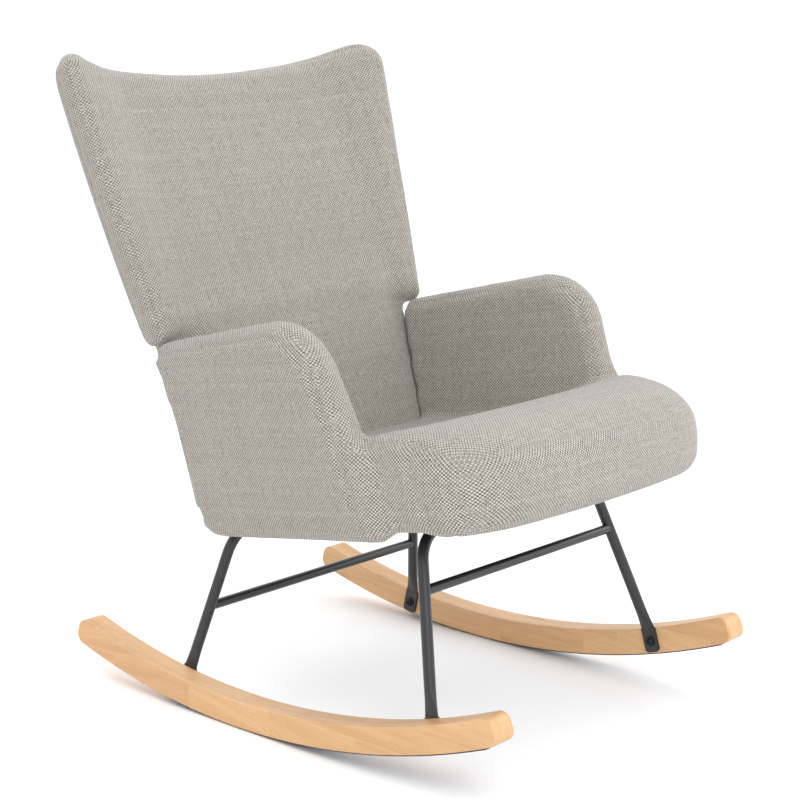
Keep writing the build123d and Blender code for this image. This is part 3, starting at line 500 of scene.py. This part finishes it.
# %% The padded pieces, from skin to finished mesh
def padded_form(name, distance, seams, low, high, to_room):
    """A stuffed and sewn cover from a distance, in room axes."""
    x, y, z = grid(low, high, STEP)
    verts, quads = skin(distance(x, y, z) + 0.0015, np.array(low), STEP)
    piece = new_mesh(name, verts, quads)
    stuffed(piece)
    subdivided(piece)
    places = to_room(sewn(piece, seams))
    piece.data.vertices.foreach_set("co", places.ravel())
    outward = bmesh.new()
    outward.from_mesh(piece.data)
    bmesh.ops.recalc_face_normals(outward, faces=outward.faces)
    outward.to_mesh(piece.data)
    outward.free()
    piece.data.update()
    print(name, "faces:", len(piece.data.polygons))
    return piece


seat_low, seat_high = (-0.3481, -0.4981, -0.0211), (0.3481, 0.1401, 0.3311)
back_low, back_high = (-0.3481, -0.1311, 0.0011), (0.3481, 0.0801, 0.7401)
seat_unit = padded_form("seat_and_arms", seat_and_arms, seat_seams, seat_low, seat_high,
                        seat_to_room)
back_unit = padded_form("winged_back", back_distance, back_seams, back_low, back_high,
                        back_to_room)


# %% [markdown]
# ## Finishes
# Every finish is worked out by shader nodes, with no picture files, so it stays sharp at any
# distance and needs no unwrapping. Effects that several finishes share are node groups:
# they are built once and put into each finish with values of its own. A few short helpers
# keep the node code readable: one adds a node and wires its inputs, one does a sum.


# %% Helpers for shader nodes
def add_node(tree, kind, inputs=None, **settings):
    """Adds a node, sets it up, and feeds its inputs with numbers or with other outputs."""
    new = tree.nodes.new(kind)
    for name, value in settings.items():
        setattr(new, name, value)
    for key, value in (inputs or {}).items():
        if isinstance(value, bpy.types.NodeSocket):
            tree.links.new(value, new.inputs[key])
        else:
            new.inputs[key].default_value = value
    return new


def calc(tree, operation, *values):
    """One sum as a Math node."""
    inputs = dict(enumerate(values))
    return add_node(tree, "ShaderNodeMath", inputs, operation=operation).outputs[0]


def mix_colours(tree, factor, first, second):
    """Blends two colours."""
    inputs = {"Factor": factor, "A": first, "B": second}
    new = tree.nodes.new("ShaderNodeMix")
    new.data_type = "RGBA"
    sockets = {"Factor": new.inputs[0], "A": new.inputs[6], "B": new.inputs[7]}
    for key, value in inputs.items():
        if isinstance(value, bpy.types.NodeSocket):
            tree.links.new(value, sockets[key])
        else:
            sockets[key].default_value = value
    return new.outputs[2]


def between(tree, value, low, high, to_low=0.0, to_high=1.0):
    """Maps a range of values to another, smoothly."""
    inputs = {0: value, 1: low, 2: high, 3: to_low, 4: to_high}
    kind = "ShaderNodeMapRange"
    return add_node(tree, kind, inputs, interpolation_type="SMOOTHSTEP").outputs[0]


def new_group(name, inputs, outputs):
    """An empty node group with named inputs and outputs."""
    group = bpy.data.node_groups.new(name, "ShaderNodeTree")
    for label, kind in inputs:
        group.interface.new_socket(label, in_out="INPUT", socket_type=f"NodeSocket{kind}")
    for label, kind in outputs:
        group.interface.new_socket(label, in_out="OUTPUT", socket_type=f"NodeSocket{kind}")
    source = group.nodes.new("NodeGroupInput")
    sink = group.nodes.new("NodeGroupOutput")
    return group, source.outputs, sink.inputs


def use_group(tree, group, **inputs):
    """Places a group in a material and feeds it by name."""
    new = tree.nodes.new("ShaderNodeGroup")
    new.node_tree = group
    for key, value in inputs.items():
        socket = new.inputs[key.replace("_", " ")]
        if isinstance(value, bpy.types.NodeSocket):
            tree.links.new(value, socket)
        else:
            socket.default_value = value
    return new.outputs


def new_finish(name, **constants):
    """A material and its shader, with plain numbers on the shader's own sockets."""
    finish = bpy.data.materials.new(name)
    finish.use_nodes = True
    tree = finish.node_tree
    shader = tree.nodes["Principled BSDF"]
    for key, value in constants.items():
        shader.inputs[key.replace("_", " ")].default_value = value
    place = tree.nodes.new("ShaderNodeTexCoord")
    return finish, tree, shader, place.outputs["Object"]


def raise_surface(tree, shader, height, distance, strength=1.0):
    """Sends a height through a Bump node to the shader."""
    inputs = {"Height": height, "Distance": distance, "Strength": strength}
    bump = add_node(tree, "ShaderNodeBump", inputs)
    tree.links.new(bump.outputs[0], shader.inputs["Normal"])


print("helpers ready")

# %% [markdown]
# ### Woven cover
# The cover is a plain weave of round yarns, about 2.4 mm from one yarn to the next. The
# warp is pale and the weft is dark taupe. Each yarn goes over one neighbour and under the
# next, so pale and dark squares alternate like a chess board, which reads as fine slanting
# rows of dots. The tone also wanders a little along each yarn. The first group draws that on
# a flat plane. The second lays the plane on the three sides of the piece and fades between them
# where the surface turns, since the piece has no unwrapping.

# %% Group: plain weave on a plane
plain_weave, given, result = new_group(
    "plain_weave", [("U", "Float"), ("V", "Float")], [("Height", "Float"), ("Tone", "Float")]
)
tree = plain_weave
column, row = calc(tree, "FLOOR", given["U"]), calc(tree, "FLOOR", given["V"])
across = calc(tree, "SUBTRACT", calc(tree, "FRACT", given["U"]), 0.5)
along = calc(tree, "SUBTRACT", calc(tree, "FRACT", given["V"]), 0.5)
chess = calc(tree, "PINGPONG", calc(tree, "ADD", column, row), 1.0)


def yarn_height(side, run):
    """Round across the yarn, and dipping at both ends of its float."""
    square = calc(tree, "MULTIPLY", side, side)
    dome = calc(tree, "SUBTRACT", 1.0, calc(tree, "MULTIPLY", square, 3.7))
    dip = calc(tree, "MULTIPLY", calc(tree, "MULTIPLY", run, run), 1.9)
    return calc(tree, "MULTIPLY", dome, calc(tree, "SUBTRACT", 1.0, dip))


def yarn_tone(number, run, seed, mean):
    """A tone close to the mean for each yarn, which wanders along it."""
    own = add_node(tree, "ShaderNodeTexWhiteNoise", {"W": calc(tree, "ADD", number, seed)},
                   noise_dimensions="1D").outputs[0]
    spot = add_node(tree, "ShaderNodeCombineXYZ", {0: calc(tree, "MULTIPLY", number, 7.31),
                                                   1: calc(tree, "MULTIPLY", run, 0.31),
                                                   2: seed}).outputs[0]
    slub = add_node(tree, "ShaderNodeTexNoise", {"Vector": spot, "Scale": 1.0, "Detail": 2.0})
    wander = between(tree, slub.outputs[0], 0.3, 0.7)
    both = calc(tree, "MULTIPLY_ADD", own, 0.10, calc(tree, "MULTIPLY", wander, 0.20))
    return calc(tree, "ADD", both, mean - 0.15)


warp_height, weft_height = yarn_height(across, along), yarn_height(along, across)
warp_tone = yarn_tone(column, given["V"], 3.0, 0.74)
weft_tone = yarn_tone(row, given["U"], 57.0, 0.26)


def choose(first, second):
    """First where the warp is on top, second where the weft is."""
    turned = calc(tree, "SUBTRACT", 1.0, chess)
    return calc(tree, "ADD", calc(tree, "MULTIPLY", first, turned),
                calc(tree, "MULTIPLY", second, chess))


tree.links.new(choose(warp_height, weft_height), result["Height"])
tree.links.new(choose(warp_tone, weft_tone), result["Tone"])
print("weave nodes:", len(tree.nodes))

# %% Group: weave wrapped round a piece
wrapped_weave, given, result = new_group(
    "wrapped_weave",
    [("Place", "Vector"), ("Facing", "Vector"), ("Tilt", "Float"), ("Yarn", "Float")],
    [("Height", "Float"), ("Tone", "Float")],
)
tree = wrapped_weave


def turned(vector):
    """A vector turned about X, to line the weave up with the tilt of the piece."""
    inputs = {"Vector": vector, "Angle": given["Tilt"]}
    return add_node(tree, "ShaderNodeVectorRotate", inputs, rotation_type="X_AXIS").outputs[0]


ease = add_node(tree, "ShaderNodeTexNoise", {"Vector": given["Place"], "Scale": 9.0})
ease_vector = add_node(tree, "ShaderNodeVectorMath",
                       {0: ease.outputs["Color"], "Scale": 0.004}, operation="SCALE").outputs[0]
eased = add_node(tree, "ShaderNodeVectorMath", {0: turned(given["Place"]), 1: ease_vector},
                 operation="ADD").outputs[0]
place = add_node(tree, "ShaderNodeSeparateXYZ", {0: eased}).outputs
facing = add_node(tree, "ShaderNodeSeparateXYZ", {0: turned(given["Facing"])}).outputs
count = [calc(tree, "DIVIDE", axis, given["Yarn"]) for axis in place]
weights = [calc(tree, "POWER", calc(tree, "ABSOLUTE", axis), 7.0) for axis in facing]
total = calc(tree, "ADD", calc(tree, "ADD", weights[0], weights[1]), weights[2])
sides = [
    (weights[0], use_group(tree, plain_weave, U=count[1], V=count[2])),
    (weights[1], use_group(tree, plain_weave, U=count[0], V=count[2])),
    (weights[2], use_group(tree, plain_weave, U=count[0], V=count[1])),
]
for label in ("Height", "Tone"):
    value = 0.0
    for weight, weave in sides:
        share = calc(tree, "DIVIDE", weight, total)
        value = calc(tree, "MULTIPLY_ADD", weave[label], share, value)
    tree.links.new(value, result[label])
print("wrapped weave nodes:", len(tree.nodes))

# %% The woven covers of the seat and of the back
CREAM = (0.56, 0.52, 0.455, 1)
TAUPE = (0.27, 0.25, 0.22, 1)
CHARCOAL = (0.115, 0.104, 0.092, 1)
YARN = 0.0024


def woven_cover(name, tilt):
    """The cover fabric, lined up with a piece that is tilted."""
    finish, tree, shader, spot = new_finish(name, Roughness=0.92, Sheen_Weight=0.25,
                                            Sheen_Roughness=0.5)
    normal = tree.nodes["Texture Coordinate"].outputs["Normal"]
    weave = use_group(tree, wrapped_weave, Place=spot, Facing=normal, Tilt=tilt, Yarn=YARN)
    pale = mix_colours(tree, between(tree, weave["Tone"], 0.45, 0.80), TAUPE, CREAM)
    yarns = mix_colours(tree, between(tree, weave["Tone"], 0.42, 0.18), pale, CHARCOAL)
    cloud = add_node(tree, "ShaderNodeTexNoise", {"Vector": spot, "Scale": 7.0, "Detail": 3.0})
    faded = mix_colours(tree, between(tree, cloud.outputs[0], 0.3, 0.7, 0.0, 0.12), yarns, TAUPE)
    # Painted shade: the low places between the yarns are mixed up to two thirds of the way towards
    # near black.
    yarn_gap_shade = between(tree, weave["Height"], 0.02, 0.55, 0.66, 0.0)
    colour_with_gap_shade = mix_colours(tree, yarn_gap_shade, faded, (0.05, 0.046, 0.042, 1))
    tree.links.new(colour_with_gap_shade, shader.inputs["Base Color"])
    fuzz = add_node(tree, "ShaderNodeTexNoise", {"Vector": spot, "Scale": 1500.0, "Detail": 2.0})
    height = calc(tree, "MULTIPLY_ADD", fuzz.outputs[0], 0.35, weave["Height"])
    raise_surface(tree, shader, height, 0.0008, 0.8)
    return finish


seat_fabric = woven_cover("woven_fabric_seat", seat_tilt)
back_fabric = woven_cover("woven_fabric_back", back_recline)

# %% [markdown]
# ### Wood
# The rockers are sawn from a board that is glued up from short lengths of a pale, fine
# hardwood. The grain is straight along the board, so it runs out of the curved edges, and
# each length has its own tone and its own slightly different slope. Long thin streaks make
# the grain, and short dark dashes are the pores.

# %% Group: glued lengths with straight grain
glued_wood, given, result = new_group(
    "glued_wood",
    [("Place", "Vector"), ("Block length", "Float"), ("Block height", "Float"),
     ("Pale", "Color"), ("Deep", "Color")],
    [("Color", "Color"), ("Height", "Float")],
)
tree = glued_wood
part = add_node(tree, "ShaderNodeSeparateXYZ", {0: given["Place"]}).outputs
layer = calc(tree, "FLOOR", calc(tree, "DIVIDE", part[2], given["Block height"]))
ply = calc(tree, "FLOOR", calc(tree, "DIVIDE", part[0], 0.0195))
shifted = calc(tree, "MULTIPLY_ADD", layer, 0.063, calc(tree, "MULTIPLY_ADD", ply, 0.097, part[1]))
length = calc(tree, "FLOOR", calc(tree, "DIVIDE", shifted, given["Block length"]))
block = add_node(tree, "ShaderNodeCombineXYZ", {0: ply, 1: length, 2: layer}).outputs[0]
chance = add_node(tree, "ShaderNodeTexWhiteNoise", {"Vector": block}, noise_dimensions="3D")
slope = between(tree, chance.outputs["Value"], 0.0, 1.0, -0.16, 0.16)
leaning = add_node(tree, "ShaderNodeVectorRotate", {"Vector": given["Place"], "Angle": slope},
                   rotation_type="X_AXIS").outputs[0]
apart = add_node(tree, "ShaderNodeVectorMath", {0: leaning, 1: chance.outputs["Color"]},
                 operation="ADD").outputs[0]


def streaks(widths, scale, detail):
    """Noise drawn out along the grain."""
    long = add_node(tree, "ShaderNodeVectorMath", {0: apart, 1: widths}, operation="MULTIPLY")
    inputs = {"Vector": long.outputs[0], "Scale": scale, "Detail": detail, "Roughness": 0.6}
    return add_node(tree, "ShaderNodeTexNoise", inputs).outputs[0]


figure = between(tree, streaks((1.0, 0.05, 1.0), 95.0, 5.0), 0.35, 0.68)
pores = between(tree, streaks((1.0, 0.03, 1.0), 900.0, 2.0), 0.60, 0.72)
broad = streaks((1.0, 0.12, 1.0), 22.0, 3.0)
tone = calc(tree, "MULTIPLY_ADD", chance.outputs["Value"], 0.45,
            calc(tree, "MULTIPLY_ADD", figure, 0.32, calc(tree, "MULTIPLY", broad, 0.3)))
base = mix_colours(tree, tone, given["Pale"], given["Deep"])
dark = mix_colours(tree, calc(tree, "MULTIPLY", pores, 0.42), base, (0.22, 0.11, 0.045, 1))
tree.links.new(dark, result["Color"])
tree.links.new(calc(tree, "MULTIPLY_ADD", figure, 0.3, calc(tree, "MULTIPLY", pores, -0.7)),
               result["Height"])


# %% Wood finishes
def wooden(name, pale, deep, block_length, block_height, roughness, coat):
    """A wood finish from the glued wood group."""
    finish, tree, shader, spot = new_finish(name, Roughness=roughness, Coat_Weight=coat,
                                            Coat_Roughness=0.35)
    wood = use_group(tree, glued_wood, Place=spot, Pale=pale, Deep=deep,
                     Block_length=block_length, Block_height=block_height)
    tree.links.new(wood["Color"], shader.inputs["Base Color"])
    raise_surface(tree, shader, wood["Height"], 0.0002, 0.5)
    return finish


rocker_wood = wooden("rocker_wood", (0.70, 0.435, 0.215, 1), (0.50, 0.265, 0.11, 1),
                     0.165, 0.047, 0.42, 0.12)
frame_wood = wooden("frame_wood", (0.66, 0.5, 0.3, 1), (0.5, 0.34, 0.18, 1),
                    0.6, 0.08, 0.7, 0.0)

# %% [markdown]
# ### Steel, rubber and lining
# The tube is powder coated: satin black, with the very fine ripple of baked powder. Bolts
# are blackened and a little shinier, nuts are zinc plated. The strips under the rockers are
# black rubber with fine cross ribs, and the lining under the seat is a thin felt.


# %% Finishes with a fine random surface
def speckled(name, dark, light, scale, distance, **constants):
    """A finish with two close tones and a fine random surface."""
    finish, tree, shader, spot = new_finish(name, **constants)
    speck = add_node(tree, "ShaderNodeTexNoise", {"Vector": spot, "Scale": scale, "Detail": 4.0})
    colour = mix_colours(tree, between(tree, speck.outputs[0], 0.35, 0.65), dark, light)
    tree.links.new(colour, shader.inputs["Base Color"])
    raise_surface(tree, shader, speck.outputs[0], distance, 0.6)
    return finish


black_powder_coat = speckled("black_powder_coat", (0.010, 0.010, 0.012, 1),
                             (0.016, 0.016, 0.019, 1), 1400.0, 0.00006,
                             Roughness=0.36, Coat_Weight=0.2, Coat_Roughness=0.3)
black_oxide = speckled("black_oxide", (0.02, 0.02, 0.022, 1), (0.035, 0.035, 0.037, 1),
                       900.0, 0.00003, Metallic=0.7, Roughness=0.4)
zinc_plate = speckled("zinc_plate", (0.55, 0.55, 0.53, 1), (0.66, 0.66, 0.63, 1),
                      500.0, 0.00003, Metallic=1.0, Roughness=0.35)
seat_lining = speckled("seat_lining", (0.015, 0.015, 0.017, 1), (0.045, 0.045, 0.05, 1),
                       1100.0, 0.0003, Roughness=0.95)
elastic_webbing = speckled("elastic_webbing", (0.02, 0.02, 0.022, 1), (0.07, 0.07, 0.075, 1),
                           700.0, 0.0003, Roughness=0.9)

rubber, tree, shader, spot = new_finish("ribbed_rubber", Roughness=0.75)
ribs = add_node(tree, "ShaderNodeTexWave", {"Vector": spot, "Scale": 160.0, "Distortion": 0.2},
                bands_direction="Y")
grit = add_node(tree, "ShaderNodeTexNoise", {"Vector": spot, "Scale": 1200.0})
tree.links.new(mix_colours(tree, between(tree, grit.outputs[0], 0.3, 0.7),
                           (0.012, 0.012, 0.012, 1), (0.026, 0.026, 0.026, 1)),
               shader.inputs["Base Color"])
raise_surface(tree, shader, ribs.outputs[1], 0.0004, 0.7)

# %% Give every ready-made piece its finish
finish_of_slot = {
    "satin_black_steel": black_powder_coat,
    "black_fastener": black_oxide,
    "zinc_steel": zinc_plate,
    "oiled_hardwood": rocker_wood,
    "frame_timber": frame_wood,
    "plywood": frame_wood,
    "black_rubber": rubber,
    "webbing": elastic_webbing,
    "lining": seat_lining,
}
for entry in frame["record"]["subparts"]:
    finish = finish_of_slot.get(entry["material_slot"])
    ready_made = frame["nodes"][entry["node"]]
    if finish:
        for holder in ready_made.material_slots:
            holder.material = finish
seat_unit.data.materials.append(seat_fabric)
back_unit.data.materials.append(back_fabric)
print("finishes:", len(finish_of_slot) + 2)


# %% Hand over the padded pieces
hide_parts("seat_cover", "seat_foam", "arm_foam_right", "arm_foam_left")
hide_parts("back_cover", "back_foam")
for piece in (seat_unit, back_unit):
    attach(piece, "root")

# %% Floor, light and camera
floor_mesh = bpy.data.meshes.new("floor")
FLOOR_REACH = 300.0
floor_signs = ((-1, -1), (1, -1), (1, 1), (-1, 1))
floor_corners = [(FLOOR_REACH * x, FLOOR_REACH * y, 0) for x, y in floor_signs]
floor_mesh.from_pydata(floor_corners, [], [(0, 1, 2, 3)])
floor = bpy.data.objects.new("floor", floor_mesh)
bpy.context.scene.collection.objects.link(floor)
floor_paint = bpy.data.materials.new("pale_floor")
floor_paint.use_nodes = True
floor_shader = floor_paint.node_tree.nodes["Principled BSDF"]
floor_shader.inputs["Base Color"].default_value = (0.93, 0.93, 0.93, 1)
floor_shader.inputs["Roughness"].default_value = 0.9
floor_mesh.materials.append(floor_paint)

world = bpy.data.worlds.new("studio")
bpy.context.scene.world = world
world.use_nodes = True
world.node_tree.nodes["Background"].inputs["Color"].default_value = (0.97, 0.98, 1.0, 1)
world.node_tree.nodes["Background"].inputs["Strength"].default_value = 1.22


def soft_box(name, place, aim, size, power):
    """A large square lamp that points at a place."""
    lamp = bpy.data.lights.new(name, "AREA")
    lamp.shape = "SQUARE"
    lamp.size = size
    lamp.energy = power
    holder = bpy.data.objects.new(name, lamp)
    holder.location = place
    holder.rotation_euler = (Vector(aim) - Vector(place)).to_track_quat("-Z", "Y").to_euler()
    bpy.context.scene.collection.objects.link(holder)


soft_box("key_light", (-1.4, -2.6, 2.6), (0, 0, 0.4), 1.6, 50)
soft_box("fill_light", (2.8, -1.6, 1.8), (0, 0, 0.5), 2.0, 24)
soft_box("rear_light", (0.4, 2.6, 2.6), (0, 0, 0.6), 1.8, 30)

LENS_MM, SENSOR_MM = 88.62, 36.0
camera_place = Vector((-2.0888, contact_y - 1.9326, 1.0325))
camera_aim = Vector((0.0, contact_y - 0.0587, 0.4375))
lens = bpy.data.cameras.new("studio_camera")
lens.lens = LENS_MM
lens.sensor_width = SENSOR_MM
camera = bpy.data.objects.new("studio_camera", lens)
camera.location = camera_place
camera.rotation_euler = (camera_aim - camera_place).to_track_quat("-Z", "Y").to_euler()
bpy.context.scene.collection.objects.link(camera)
bpy.context.scene.camera = camera
bpy.context.scene.view_settings.view_transform = "Standard"
